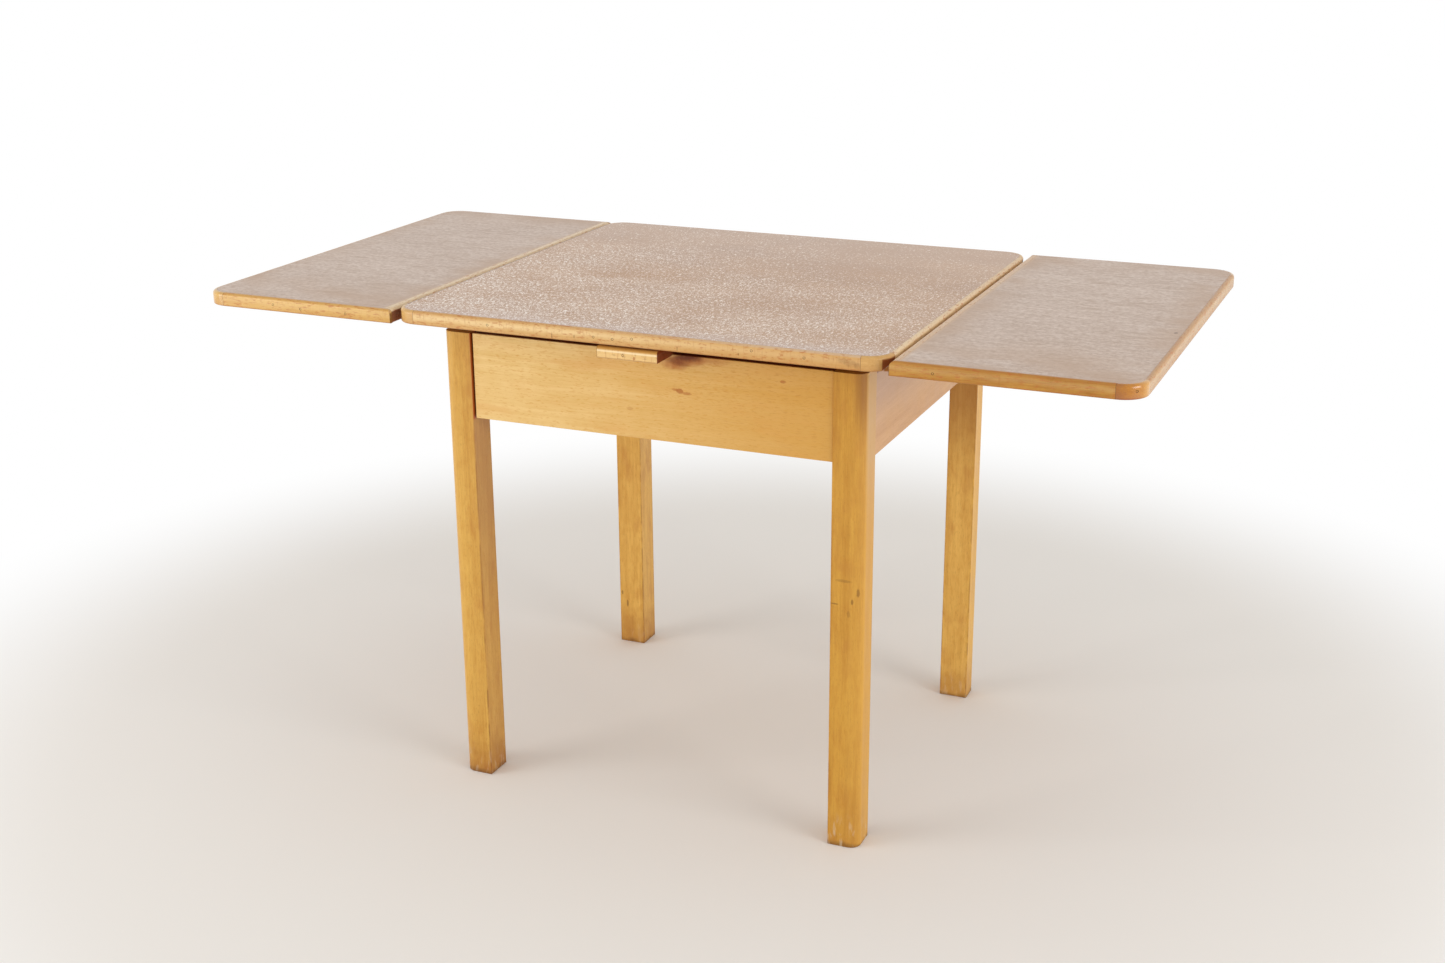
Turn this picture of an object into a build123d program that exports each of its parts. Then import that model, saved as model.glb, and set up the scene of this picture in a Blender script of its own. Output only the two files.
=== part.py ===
from build123d import *
import os

os.makedirs("parts", exist_ok=True)

# A draw-leaf table, standing on the floor at z = 0 with its drawer towards -Y.
# The leaves are drawn out to the left (-X) and the right (+X). Sizes are in millimetres.

# Boards: the loose main top and the two leaves
top_height = 750.0
top_length = 744.0
top_depth = 712.0
leaf_length = 327.0
leaf_gap = 3.0
leaf_step = 2.0
board_thickness = 20.0
laminate_thickness = 1.2

# Lippings round the boards
lipping_width = 6.0
nose_width = 13.0
arris_radius = 5.0
nose_radius = 8.0
lower_arris = 1.5
corner_radius = 35.0
corner_ease = 0.5
lead_in_bevel = 10.0

# Frame
frame_length = 650.0
frame_depth = 598.0
apron_height = 127.5
apron_thickness = 20.0
apron_setback = 2.5
leg_section = 46.0
leg_round = 16.0
edge_ease = 0.8
foot_chamfer = 0.8
rail_thickness = 22.0
upper_rail_height = 24.5
lower_rail_height = 13.5

# Mortise and tenon joints
tenon_thickness = 10.0
tenon_length = 24.0
rail_tenon_length = 19.0
tenon_shoulder = 4.0
rail_tenon_shoulder = 3.0
tenon_haunch = 18.0
tenon_clearance = 0.2
mortise_well = 1.0

# Centre board and the pegs that guide the main top in it
centre_board_width = 90.0
centre_board_end_gap = 2.0
peg_radius = 9.0
peg_drop = 38.0
peg_socket = 12.0
peg_spacing = 180.0
peg_running_clearance = 1.0
peg_fit = 0.15
peg_chamfer = 2.0

# Leaf slides: lopers, their notches in the side aprons and their stop pegs
stow_clearance = 0.4
nose_clearance = 6.0
loper_width = 28.0
loper_depth = 32.0
loper_clearance = 0.3
loper_side_clearance = 0.6
loper_spacing_right = 400.0
loper_spacing_left = 330.0
loper_end_setback = 45.0
loper_stop_gap = 3.0
stop_peg_radius = 5.0
stop_peg_reach = 10.0
stop_peg_socket = 12.0
stop_peg_lift = 9.0

# Drawer
drawer_gap_left = 3.0
drawer_gap_right = 0.5
drawer_front_thickness = 20.0
drawer_front_setback = 2.5
drawer_rail_gap = 0.5
drawer_depth = 480.0
drawer_side_thickness = 14.0
drawer_side_height = 55.0
drawer_floor_gap = 2.0
drawer_back_thickness = 12.0
drawer_back_drop = 6.0
drawer_bottom_thickness = 4.0
drawer_bottom_lift = 6.0
drawer_bottom_clearance = 0.2
housing_depth = 6.0
runner_height = 34.0
tongue_height = 13.0
tongue_reach = 8.5
tongue_clearance = 1.0
tongue_end_gap = 0.8
groove_lift = 19.0

# Pull on the upper edge of the drawer front
pull_width = 92.0
pull_height = 15.0
pull_lap = 2.0
pull_reach = 48.0
pull_offset = -4.4
pull_upper_arris = 5.0
pull_arris = 1.5
pull_end_ease = 0.6

# Wood screws
screw_radius = 2.0
screw_head_radius = 4.0
screw_head_height = 2.4
screw_clearance = 0.15
screw_tip_clearance = 1.0
screw_sink = 0.4
loper_screw_length = 25.0
loper_screw_cover = 12.0
loper_screw_count = 3
loper_screw_end = 30.0
board_screw_length = 42.0
board_screw_spacing = 50.0
runner_screw_length = 34.0
runner_screw_spacing = 300.0
pull_screw_length = 38.0
pull_screw_spacing = 52.0

# Levels
top_underside = top_height - board_thickness
frame_top = top_underside - board_thickness - 2 * stow_clearance
apron_bottom = frame_top - apron_height
leaf_surface = top_height - leaf_step
leaf_underside = leaf_surface - board_thickness

# Places along X
top_half = top_length / 2
leaf_nose = top_half + leaf_gap
leaf_edge = leaf_nose + leaf_length
leg_outer_x = frame_length / 2
leg_inner_x = leg_outer_x - leg_section
apron_outer_x = leg_outer_x - apron_setback
apron_inner_x = apron_outer_x - apron_thickness
centre_half = centre_board_width / 2
drawer_half = leg_inner_x - (drawer_gap_left + drawer_gap_right) / 2
drawer_shift = (drawer_gap_left - drawer_gap_right) / 2

# Places along Y
depth_half = top_depth / 2
leg_outer_y = frame_depth / 2
leg_inner_y = leg_outer_y - leg_section
back_outer_y = leg_outer_y - apron_setback
back_inner_y = back_outer_y - apron_thickness
drawer_face_y = -leg_outer_y + drawer_front_setback
drawer_rear_y = drawer_face_y + drawer_front_thickness
rail_front_y = drawer_rear_y + drawer_rail_gap
rail_rear_y = rail_front_y + rail_thickness

# A leaf travels inward until its nose stands beside the centre board, and sinks under the top on the way
leaf_travel = leaf_nose - centre_half - nose_clearance
leaf_drop = leaf_underside - frame_top - stow_clearance
leaf_slope = leaf_drop / leaf_travel

# Round pieces are set by the middle of their upper or lower end
hanging = (Align.CENTER, Align.CENTER, Align.MAX)
standing = (Align.CENTER, Align.CENTER, Align.MIN)


def box(x0, x1, y0, y1, z0, z1):
    # A block between two corners
    return Pos((x0 + x1) / 2, (y0 + y1) / 2, (z0 + z1) / 2) * Box(x1 - x0, y1 - y0, z1 - z0)


def centred(low, high, thickness):
    # Both sides of something of a given thickness, halfway between two places
    middle = (low + high) / 2
    return (middle - thickness / 2, middle + thickness / 2)


def mortise_along_x(corners, across, along):
    # The space of a tenon along X, opened up into its mortise
    x0, x1, y0, y1, z0, z1 = corners
    return box(x0, x1 + along, y0 - across, y1 + across, z0 - across, z1 + across)


def mortise_along_y(corners, across, along):
    # The space of a tenon along Y, opened up into its mortise
    x0, x1, y0, y1, z0, z1 = corners
    return box(x0 - across, x1 + across, y0, y1 + along, z0 - across, z1 + across)


def screw(length):
    # A countersunk wood screw that points down, its head level with z = 0
    head = Cone(screw_radius, screw_head_radius, screw_head_height, align=hanging)
    shank = Cylinder(screw_radius, length, align=hanging)
    return head + shank


def screw_hole(length, pocket):
    # The hole for that screw, with a straight pocket above its head
    wide = screw_head_radius + screw_clearance
    narrow = screw_radius + screw_clearance
    head = Cone(narrow, wide, screw_head_height, align=hanging)
    shank = Cylinder(narrow, length + screw_tip_clearance, align=hanging)
    mouth = Cylinder(wide, pocket, align=standing)
    return head + shank + mouth


def lipping_section(width, upper_radius):
    # Cross-section of a lipping, its outer face on x = 0 and its upper face on y = 0
    face = Rectangle(width, board_thickness, align=(Align.MAX, Align.MAX))
    upper = face.vertices().group_by(Axis.X)[-1].sort_by(Axis.Y)[-1]
    face = fillet(upper, upper_radius)
    lower = face.vertices().group_by(Axis.X)[-1].sort_by(Axis.Y)[0]
    return fillet(lower, lower_arris)


def lipping_strip(section, length):
    # A straight lipping along Y, its outer face towards +X
    return extrude(Plane.XZ * section, amount=length / 2, both=True)


def lipping_corner(section):
    # A quarter-round lipping about the Z axis, between +X and +Y
    return revolve(Plane.XZ * (Pos(corner_radius, 0) * section), axis=Axis.Z, revolution_arc=90)


def panel(x0, x1, z0, z1, both_ends):
    # A flat panel inside the lippings, rounded at its x1 corners, and at its x0 corners where asked
    plan = Pos((x0 + x1) / 2, 0) * Rectangle(x1 - x0, top_depth - 2 * lipping_width)
    columns = plan.vertices().group_by(Axis.X)
    corners = columns[0] + columns[-1] if both_ends else columns[-1]
    plan = fillet(corners, corner_radius - lipping_width + corner_ease)
    return Pos(0, 0, z0) * extrude(plan, amount=z1 - z0)


parts = {}

# Tenons, given by their corners: the ones on aprons and rails reach into the +X or +Y leg
apron_tenon_z = (apron_bottom + tenon_shoulder, frame_top - tenon_haunch)
side_tenon_x = centred(apron_inner_x, apron_outer_x, tenon_thickness)
side_tenon = (*side_tenon_x, leg_inner_y, leg_inner_y + tenon_length, *apron_tenon_z)
back_tenon_y = centred(back_inner_y, back_outer_y, tenon_thickness)
back_tenon = (leg_inner_x, leg_inner_x + tenon_length, *back_tenon_y, *apron_tenon_z)
rail_tenon_y = centred(rail_front_y, rail_rear_y, tenon_thickness)
rail_tenon_x = (leg_inner_x, leg_inner_x + rail_tenon_length)
upper_rail_bottom = frame_top - upper_rail_height
lower_rail_top = apron_bottom + lower_rail_height
upper_tenon_z = (upper_rail_bottom + rail_tenon_shoulder, frame_top - rail_tenon_shoulder)
lower_tenon_z = (apron_bottom + rail_tenon_shoulder, lower_rail_top - rail_tenon_shoulder)
upper_rail_tenon = (*rail_tenon_x, *rail_tenon_y, *upper_tenon_z)
lower_rail_tenon = (*rail_tenon_x, *rail_tenon_y, *lower_tenon_z)


def leg_blank():
    # A square leg in the +X +Y corner, with its outer upright arris rounded and its foot chamfered
    middle = Pos((leg_inner_x + leg_outer_x) / 2, (leg_inner_y + leg_outer_y) / 2)
    plan = middle * Rectangle(leg_section, leg_section)
    corners = plan.vertices().sort_by(lambda v: v.X + v.Y)
    plan = fillet(corners[-1], leg_round)
    square_corners = plan.vertices().sort_by(lambda v: abs(v.X - leg_outer_x) + abs(v.Y - leg_outer_y))[2:]
    plan = fillet(square_corners, edge_ease)
    blank = extrude(plan, amount=frame_top)
    return chamfer(blank.faces().sort_by(Axis.Z)[0].edges(), foot_chamfer)


plain_leg = leg_blank()
side_mortise = mortise_along_y(side_tenon, tenon_clearance, mortise_well)
back_leg = plain_leg - side_mortise - mortise_along_x(back_tenon, tenon_clearance, mortise_well)
front_leg = plain_leg - side_mortise
for rail_tenon in (upper_rail_tenon, lower_rail_tenon):
    front_leg -= mirror(mortise_along_x(rail_tenon, tenon_clearance, mortise_well), about=Plane.XZ)
front_leg = mirror(front_leg, about=Plane.XZ)
parts["leg_back_right"] = back_leg
parts["leg_back_left"] = mirror(back_leg, about=Plane.YZ)
parts["leg_front_right"] = front_leg
parts["leg_front_left"] = mirror(front_leg, about=Plane.YZ)


def loper_upper(x):
    # Upper edge of a right-hand loper inside the table: parallel to the slide, just under the centre board
    return frame_top - loper_clearance + leaf_slope * (x - centre_half)


def loper_lower(x):
    # Lower edge of a right-hand loper: parallel to the slide all along
    return loper_upper(x) - loper_depth


def upright_plate(points, y0, y1):
    # A plate with the given outline in X and Z, between two places along Y
    outline = make_face(Polyline(*points, close=True))
    plate = extrude(Plane.XZ * outline, amount=y1 - y0)
    return Pos(0, y1, 0) * plate


def loper_notch(y):
    # The slot in the right side apron that one loper runs through, its floor parallel to the slide
    x0 = apron_inner_x - apron_thickness
    x1 = apron_outer_x + apron_thickness
    roof = frame_top + apron_thickness
    floor = [(x0, loper_lower(x0) - loper_clearance), (x1, loper_lower(x1) - loper_clearance)]
    half = loper_width / 2 + loper_side_clearance
    return upright_plate([*floor, (x1, roof), (x0, roof)], y - half, y + half)


def side_apron(loper_spacing):
    # The right-hand side apron, with a tenon at each end and two slots for lopers
    board = box(apron_inner_x, apron_outer_x, -leg_inner_y, leg_inner_y, apron_bottom, frame_top)
    low_edges = board.edges().filter_by(Axis.Y).group_by(Axis.Z)[0]
    board = fillet(low_edges, edge_ease)
    tenon = box(*side_tenon)
    board = board + tenon + mirror(tenon, about=Plane.XZ)
    for y in (-loper_spacing / 2, loper_spacing / 2):
        board -= loper_notch(y)
    return board


parts["apron_right"] = side_apron(loper_spacing_right)
parts["apron_left"] = mirror(side_apron(loper_spacing_left), about=Plane.YZ)

back_board = box(-leg_inner_x, leg_inner_x, back_inner_y, back_outer_y, apron_bottom, frame_top)
back_board = fillet(back_board.edges().filter_by(Axis.X).group_by(Axis.Z)[0], edge_ease)
back_board += box(*back_tenon) + mirror(box(*back_tenon), about=Plane.YZ)


def front_rail(z0, z1, tenon):
    # A rail between the front legs, behind the drawer front
    bar = box(-leg_inner_x, leg_inner_x, rail_front_y, rail_rear_y, z0, z1)
    return bar + box(*tenon) + mirror(box(*tenon), about=Plane.YZ)


upper_rail = front_rail(upper_rail_bottom, frame_top, upper_rail_tenon)
parts["rail_front_lower"] = front_rail(apron_bottom, lower_rail_top, lower_rail_tenon)

# Centre board: screwed down on the upper rail and the back apron, with a hole for each guide peg
centre_front_y = rail_front_y + centre_board_end_gap
centre_rear_y = back_outer_y - centre_board_end_gap
centre_board = box(-centre_half, centre_half, centre_front_y, centre_rear_y, frame_top, top_underside)
peg_places = [(0, -peg_spacing / 2), (0, peg_spacing / 2)]
for x, y in peg_places:
    hole = Cylinder(peg_radius + peg_running_clearance, board_thickness * 3)
    centre_board -= Pos(x, y, frame_top) * hole
board_screw_rows = ((centre_front_y + rail_rear_y) / 2, (back_inner_y + centre_rear_y) / 2)
board_screws = []
for y in board_screw_rows:
    for x in (-board_screw_spacing / 2, board_screw_spacing / 2):
        place = Pos(x, y, top_underside - screw_sink)
        board_screws.append(place * screw(board_screw_length))
        hole = place * screw_hole(board_screw_length, board_thickness)
        centre_board -= hole
        upper_rail -= hole
        back_board -= hole
parts["centre_board"] = centre_board
parts["centre_board_screws"] = Compound(children=board_screws)
parts["rail_front_upper"] = upper_rail
parts["apron_back"] = back_board

# Drawer runners: battens on the side aprons whose tongues carry the grooved drawer sides
drawer_low = lower_rail_top + drawer_floor_gap
groove_low = drawer_low + groove_lift
groove_high = groove_low + tongue_height + tongue_clearance
tongue_low = groove_high - tongue_height
runner_low = (tongue_low + groove_high - runner_height) / 2
runner = box(leg_inner_x, apron_inner_x, -leg_inner_y, leg_inner_y, runner_low, runner_low + runner_height)
runner += box(leg_inner_x - tongue_reach, leg_inner_x, -leg_inner_y, leg_inner_y, tongue_low, groove_high)
right_apron = parts["apron_right"]
left_apron = parts["apron_left"]
runner_screws = []
runner_screw_z = (runner_low + tongue_low) / 2
for y in (-runner_screw_spacing / 2, runner_screw_spacing / 2):
    place = Pos(leg_inner_x + screw_sink, y, runner_screw_z) * Rot(0, -90, 0)
    runner_screws.append(place * screw(runner_screw_length))
    hole = place * screw_hole(runner_screw_length, tongue_reach)
    runner -= hole
    right_apron -= hole
    left_apron -= mirror(hole, about=Plane.YZ)
runner_screws += [mirror(s, about=Plane.YZ) for s in runner_screws]
parts["apron_right"] = right_apron
parts["apron_left"] = left_apron
parts["drawer_runner_right"] = runner
parts["drawer_runner_left"] = mirror(runner, about=Plane.YZ)
parts["runner_screws"] = Compound(children=runner_screws)

# Main top: lipped core under a laminate, its side edges bevelled below so that a leaf's nose passes under
lipping = lipping_section(lipping_width, arris_radius)
bevel_points = [
    (top_half, top_underside),
    (top_half, top_underside + lead_in_bevel),
    (top_half - lead_in_bevel, top_underside),
]
right_bevel = upright_plate(bevel_points, -depth_half, depth_half)
bevels = right_bevel + mirror(right_bevel, about=Plane.YZ)
core_half = top_half - lipping_width
core_top = top_height - laminate_thickness
top_core = panel(-core_half, core_half, top_underside, core_top, True) - bevels
guide_pegs = []
for x, y in peg_places:
    socket = Cylinder(peg_radius + peg_fit, peg_socket, align=standing)
    top_core -= Pos(x, y, top_underside) * socket
    peg = Cylinder(peg_radius, peg_drop + peg_socket, align=hanging)
    peg = chamfer(peg.faces().sort_by(Axis.Z)[0].edges(), peg_chamfer)
    guide_pegs.append(Pos(x, y, top_underside + peg_socket) * peg)
parts["top_core"] = top_core
parts["top_laminate"] = panel(-core_half, core_half, core_top, top_height, True)
parts["top_guide_pegs"] = Compound(children=guide_pegs)
long_strip = lipping_strip(lipping, top_length - 2 * corner_radius)
parts["top_lipping_front"] = Pos(0, -depth_half, top_height) * Rot(0, 0, -90) * long_strip
parts["top_lipping_back"] = Pos(0, depth_half, top_height) * Rot(0, 0, 90) * long_strip
side_strip = Pos(top_half, 0, top_height) * lipping_strip(lipping, top_depth - 2 * corner_radius) - bevels
parts["top_lipping_right"] = side_strip
parts["top_lipping_left"] = mirror(side_strip, about=Plane.YZ)
corner_y = depth_half - corner_radius
top_corner = Pos(top_half - corner_radius, corner_y, top_height) * lipping_corner(lipping) - bevels
right_corners = [top_corner, mirror(top_corner, about=Plane.XZ)]
left_corners = [mirror(c, about=Plane.YZ) for c in right_corners]
parts["top_corner_pieces"] = Compound(children=right_corners + left_corners)

# The rounding of a leaf's nose, as the waste that is planed off its upper inner arris
nose_waste = Pos(nose_radius / 2, -nose_radius / 2) * Rectangle(nose_radius, nose_radius)
nose_waste -= Pos(nose_radius, -nose_radius) * Circle(nose_radius)
nose_waste = Pos(leaf_nose, depth_half, leaf_surface) * extrude(Plane.XZ * nose_waste, amount=top_depth)


def loper(y):
    # A right-hand bearer: thin under the leaf's outer edge, full depth from the nose inward
    x_outer = leaf_edge - loper_end_setback
    x_inner = leaf_travel - apron_inner_x + loper_stop_gap
    points = [
        (x_outer, leaf_underside),
        (leaf_nose, leaf_underside),
        (leaf_nose, loper_upper(leaf_nose)),
        (x_inner, loper_upper(x_inner)),
        (x_inner, loper_lower(x_inner)),
        (x_outer, loper_lower(x_outer)),
    ]
    return upright_plate(points, y - loper_width / 2, y + loper_width / 2)


def make_leaf(name, loper_spacing, peg_side, place):
    # A right-hand leaf with its two lopers; place puts it on its own side of the table
    core_x0 = leaf_nose + nose_width
    core_x1 = leaf_edge - lipping_width
    laminate_low = leaf_surface - laminate_thickness
    core = panel(core_x0, core_x1, leaf_underside, laminate_low, False)
    end_strip = lipping_strip(lipping, leaf_length - corner_radius)
    end_x = leaf_nose + (leaf_length - corner_radius) / 2
    front = Pos(end_x, -depth_half, leaf_surface) * Rot(0, 0, -90) * end_strip - nose_waste
    outer_strip = lipping_strip(lipping, top_depth - 2 * corner_radius)
    nose_half = depth_half - lipping_width
    nose = box(leaf_nose, core_x0, -nose_half, nose_half, leaf_underside, leaf_surface) - nose_waste
    nose_low = nose.edges().filter_by(Axis.Y).group_by(Axis.Z)[0].sort_by(Axis.X)[0]
    nose = fillet(nose_low, lower_arris)
    corner = Pos(leaf_edge - corner_radius, corner_y, leaf_surface) * lipping_corner(lipping)

    first_x = leaf_nose + nose_width + loper_screw_end
    last_x = leaf_edge - loper_end_setback - loper_screw_end
    pitch = (last_x - first_x) / (loper_screw_count - 1)
    peg_x = apron_inner_x - stop_peg_radius - loper_clearance
    peg_z = loper_lower(peg_x) + stop_peg_lift
    peg_length = stop_peg_reach + stop_peg_socket
    bearers = {}
    screws = []
    stops = []
    for where, sign in (("front", -1), ("back", 1)):
        y = sign * loper_spacing / 2
        bearer = loper(y)
        for i in range(loper_screw_count):
            spot = Pos(first_x + i * pitch, y, leaf_underside - loper_screw_cover) * Rot(180, 0, 0)
            screws.append(spot * screw(loper_screw_length))
            hole = spot * screw_hole(loper_screw_length, loper_depth)
            bearer -= hole
            core -= hole
        outward = sign * peg_side
        face_y = y + outward * loper_width / 2
        stop_middle = face_y + outward * (stop_peg_reach - stop_peg_socket) / 2
        lying = Pos(peg_x, stop_middle, peg_z) * Rot(90, 0, 0)
        stops.append(lying * Cylinder(stop_peg_radius, peg_length))
        bearer -= lying * Cylinder(stop_peg_radius + peg_fit, peg_length)
        bearers[where] = bearer

    pieces = {
        "core": core,
        "laminate": panel(core_x0, core_x1, laminate_low, leaf_surface, False),
        "lipping_front": front,
        "lipping_back": mirror(front, about=Plane.XZ),
        "lipping_outer": Pos(leaf_edge, 0, leaf_surface) * outer_strip,
        "lipping_nose": nose,
        "corner_pieces": Compound(children=[place(corner), place(mirror(corner, about=Plane.XZ))]),
        "loper_front": bearers["front"],
        "loper_back": bearers["back"],
        "loper_screws": Compound(children=[place(s) for s in screws]),
        "stop_pegs": Compound(children=[place(s) for s in stops]),
    }
    for piece, solid in pieces.items():
        grouped = piece in ("corner_pieces", "loper_screws", "stop_pegs")
        parts[f"leaf_{name}_{piece}"] = solid if grouped else place(solid)


make_leaf("right", loper_spacing_right, 1, lambda solid: solid)
make_leaf("left", loper_spacing_left, -1, lambda solid: mirror(solid, about=Plane.YZ))

# Drawer: the front stands between the legs, the sides are housed in it and hang on the runners.
# It is made about x = 0 and then set towards the right leg, as it hangs.
side_inner = drawer_half - drawer_side_thickness
drawer_high = drawer_low + drawer_side_height
drawer_end_y = drawer_rear_y + drawer_depth
bottom_low = drawer_low + drawer_bottom_lift
bottom_high = bottom_low + drawer_bottom_thickness
bottom_reach = housing_depth - drawer_bottom_clearance
housing_y = drawer_rear_y - housing_depth
hung = Pos(drawer_shift, 0, 0)

drawer_side = box(side_inner, drawer_half, housing_y, drawer_end_y, drawer_low, drawer_high)
groove_x = leg_inner_x - drawer_shift - tongue_reach - tongue_end_gap
drawer_side -= box(groove_x, drawer_half, drawer_rear_y, drawer_end_y, groove_low, groove_high)
bottom_slot_z = (bottom_low - drawer_bottom_clearance, bottom_high)
drawer_side -= box(side_inner, side_inner + housing_depth, housing_y, drawer_end_y, *bottom_slot_z)
parts["drawer_side_right"] = hung * drawer_side
parts["drawer_side_left"] = hung * mirror(drawer_side, about=Plane.YZ)

drawer_front = box(-drawer_half, drawer_half, drawer_face_y, drawer_rear_y, apron_bottom, frame_top)
face_edges = drawer_front.faces().sort_by(Axis.Y)[0].edges()
drawer_front = fillet(face_edges, edge_ease)
housing = box(side_inner, drawer_half, housing_y, drawer_rear_y, drawer_low, drawer_high)
drawer_front -= housing
drawer_front -= mirror(housing, about=Plane.YZ)
drawer_front -= box(-side_inner, side_inner, housing_y, drawer_rear_y, *bottom_slot_z)
drawer_front = hung * drawer_front
parts["drawer_bottom"] = hung * box(
    -side_inner - bottom_reach,
    side_inner + bottom_reach,
    drawer_rear_y - bottom_reach,
    drawer_end_y,
    bottom_low,
    bottom_high,
)
drawer_back_y = drawer_end_y - drawer_back_thickness
parts["drawer_back"] = hung * box(
    -side_inner, side_inner, drawer_back_y, drawer_end_y, bottom_high, drawer_high - drawer_back_drop
)

# The pull stands on the drawer front between the paths of the two leaves, screwed down from above,
# and laps a little over the drawer's face
pull_depth = pull_reach + drawer_front_thickness
pull_section = Rectangle(pull_depth, pull_height, align=(Align.MAX, Align.MIN))
face_lap = Rectangle(pull_reach, pull_lap, align=(Align.MAX, Align.MAX))
pull_section += Pos(-drawer_front_thickness, 0) * face_lap
upper_front = pull_section.vertices().group_by(Axis.X)[0].sort_by(Axis.Y)[-1]
pull_section = fillet(upper_front, pull_upper_arris)
lower_front = pull_section.vertices().group_by(Axis.X)[0].sort_by(Axis.Y)[0]
pull_section = fillet(lower_front, pull_arris)
pull = extrude(Plane.YZ * pull_section, amount=pull_width / 2, both=True)
for end in (pull.faces().sort_by(Axis.X)[0], pull.faces().sort_by(Axis.X)[-1]):
    pull = fillet(end.edges(), pull_end_ease)
pull = Pos(pull_offset, drawer_rear_y, frame_top) * pull
pull_screws = []
for x in (pull_offset - pull_screw_spacing / 2, pull_offset + pull_screw_spacing / 2):
    place = Pos(x, (drawer_face_y + drawer_rear_y) / 2, frame_top + pull_height - screw_sink)
    pull_screws.append(place * screw(pull_screw_length))
    hole = place * screw_hole(pull_screw_length, pull_height)
    pull -= hole
    drawer_front -= hole
parts["drawer_front"] = drawer_front
parts["drawer_pull"] = pull
parts["pull_screws"] = Compound(children=pull_screws)

for name, shape in parts.items():
    export_step(shape, f"parts/{name}.step")

print(f"leaf travel {leaf_travel:.3f} mm inward, {leaf_drop:.3f} mm down")
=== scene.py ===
# A draw-leaf kitchen table with both leaves out: its finishes, the pins in its lippings,
# the studio and the camera.
# Metres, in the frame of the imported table: +Z up, the drawer towards -Y, the leaves to -X and +X.

import math

import bpy
from mathutils import Matrix, Vector


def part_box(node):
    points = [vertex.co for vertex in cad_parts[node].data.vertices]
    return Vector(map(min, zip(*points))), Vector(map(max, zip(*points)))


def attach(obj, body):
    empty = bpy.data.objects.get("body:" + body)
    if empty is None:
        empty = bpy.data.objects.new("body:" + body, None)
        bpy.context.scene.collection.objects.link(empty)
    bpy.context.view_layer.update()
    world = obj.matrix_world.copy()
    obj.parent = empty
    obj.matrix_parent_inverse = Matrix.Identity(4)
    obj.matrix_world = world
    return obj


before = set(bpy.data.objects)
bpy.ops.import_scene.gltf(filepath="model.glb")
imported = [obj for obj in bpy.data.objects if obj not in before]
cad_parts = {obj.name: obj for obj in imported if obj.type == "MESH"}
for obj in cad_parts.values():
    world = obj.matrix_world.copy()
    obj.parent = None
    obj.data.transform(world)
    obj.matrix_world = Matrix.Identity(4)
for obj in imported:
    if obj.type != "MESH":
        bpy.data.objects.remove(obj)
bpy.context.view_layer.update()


# Shader maths

class Value:
    """What a node gives out. Sums on it add Math nodes."""

    def __init__(self, tree, socket):
        self.tree = tree
        self.socket = socket

    def other(self, output):
        """Another output of the same node."""
        return Value(self.tree, self.socket.node.outputs[output])

    def sum(self, operation, first, second):
        return self.tree.node("ShaderNodeMath", {"operation": operation}, {0: first, 1: second})

    def __add__(self, second):
        return self.sum("ADD", self, second)

    def __radd__(self, first):
        return self.sum("ADD", first, self)

    def __sub__(self, second):
        return self.sum("SUBTRACT", self, second)

    def __rsub__(self, first):
        return self.sum("SUBTRACT", first, self)

    def __mul__(self, second):
        return self.sum("MULTIPLY", self, second)

    def __rmul__(self, first):
        return self.sum("MULTIPLY", first, self)

    def __truediv__(self, second):
        return self.sum("DIVIDE", self, second)

    def __or__(self, second):
        return self.sum("MAXIMUM", self, second)

    def __abs__(self):
        return self.sum("ABSOLUTE", self, 0.0)


class Tree:
    """A node tree that is filled from here."""

    def __init__(self, tree):
        self.tree = tree
        self.tree.nodes.clear()

    def node(self, kind, settings, values, output=0):
        """Adds a node: its settings first, then a value or a link for each socket that is named."""
        made = self.tree.nodes.new(kind)
        for setting, chosen in settings.items():
            setattr(made, setting, chosen)
        for socket, value in values.items():
            if isinstance(value, Value):
                self.tree.links.new(value.socket, made.inputs[socket])
            else:
                made.inputs[socket].default_value = value
        return Value(self, made.outputs[output]) if made.outputs else None

    def step(self, value, low, high):
        """0 at low and 1 at high, eased in between."""
        settings = {"interpolation_type": "SMOOTHSTEP"}
        return self.node("ShaderNodeMapRange", settings, {0: value, 1: low, 2: high})

    def mix(self, share, first, second):
        """A colour between two, or between two sockets that carry colours."""
        return self.node("ShaderNodeMix", {"data_type": "RGBA"}, {0: share, 6: first, 7: second}, 2)

    def seen(self):
        """1 for the eye, for reflections and for a look through glass, 0 for bounced light."""
        ray = self.node("ShaderNodeLightPath", {}, {}, "Is Camera Ray")
        return ray | ray.other("Is Glossy Ray") | ray.other("Is Transmission Ray")


def tone(red, green, blue):
    """A colour by its screen values from 0 to 255, as the linear colour that the shaders take."""
    def linear(level):
        share = level / 255
        return share / 12.92 if share <= 0.04045 else ((share + 0.055) / 1.055) ** 2.4

    return (linear(red), linear(green), linear(blue), 1.0)


WHITE = (1.0, 1.0, 1.0, 1.0)

SHIFT = (1.0, 1.7, 0.6)     # how a pattern moves in X, Y and Z for each unit that pieces are apart
RIM_GRAIN = 0.6             # size of the rags round a spot, as a share of its smaller half size
RAGGED = 1.4                # how far the rim of a mark strays
CORE = 0.35                 # where a mark starts to fade


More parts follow.
